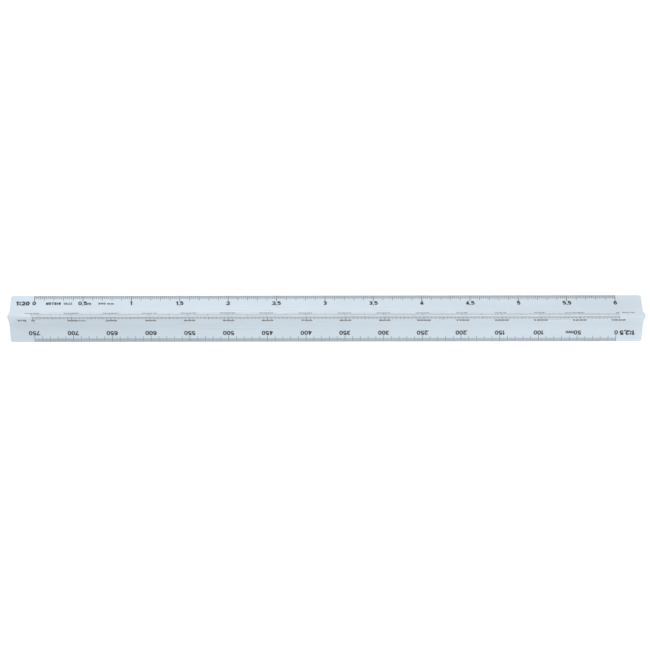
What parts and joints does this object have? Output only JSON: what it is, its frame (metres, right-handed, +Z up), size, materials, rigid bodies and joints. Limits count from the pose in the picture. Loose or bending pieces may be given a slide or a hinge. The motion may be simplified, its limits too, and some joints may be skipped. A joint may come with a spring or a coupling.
{
  "type": "triangular scale ruler",
  "caption": "Triangular drafting scale: a one-piece fluted white plastic bar that lies on one face, with dark printed scales along both sides of its edges.",
  "frame": {"origin": "middle of the rectangle that the bar covers on the surface it lies on", "axes": "+X along the bar, away from the end where the 1:20 and 1:5 scales have their zero; +Y towards the edge that carries the 1:20 scale; +Z up through the top edge"},
  "size_m": [0.326, 0.0238, 0.0208],
  "materials": {
    "white_plastic": "satin moulded polystyrene, cool white",
    "scale_ink": "thin dark printing ink, nearly black"
  },
  "bodies": {
    "root": {"ruler_body": "white_plastic", "scale_print_1_20": "scale_ink", "scale_print_1_10": "scale_ink", "scale_print_1_5": "scale_ink", "scale_print_1_2_5": "scale_ink", "scale_print_1_50": "scale_ink", "scale_print_1_100": "scale_ink"}
  },
  "joints": []
}
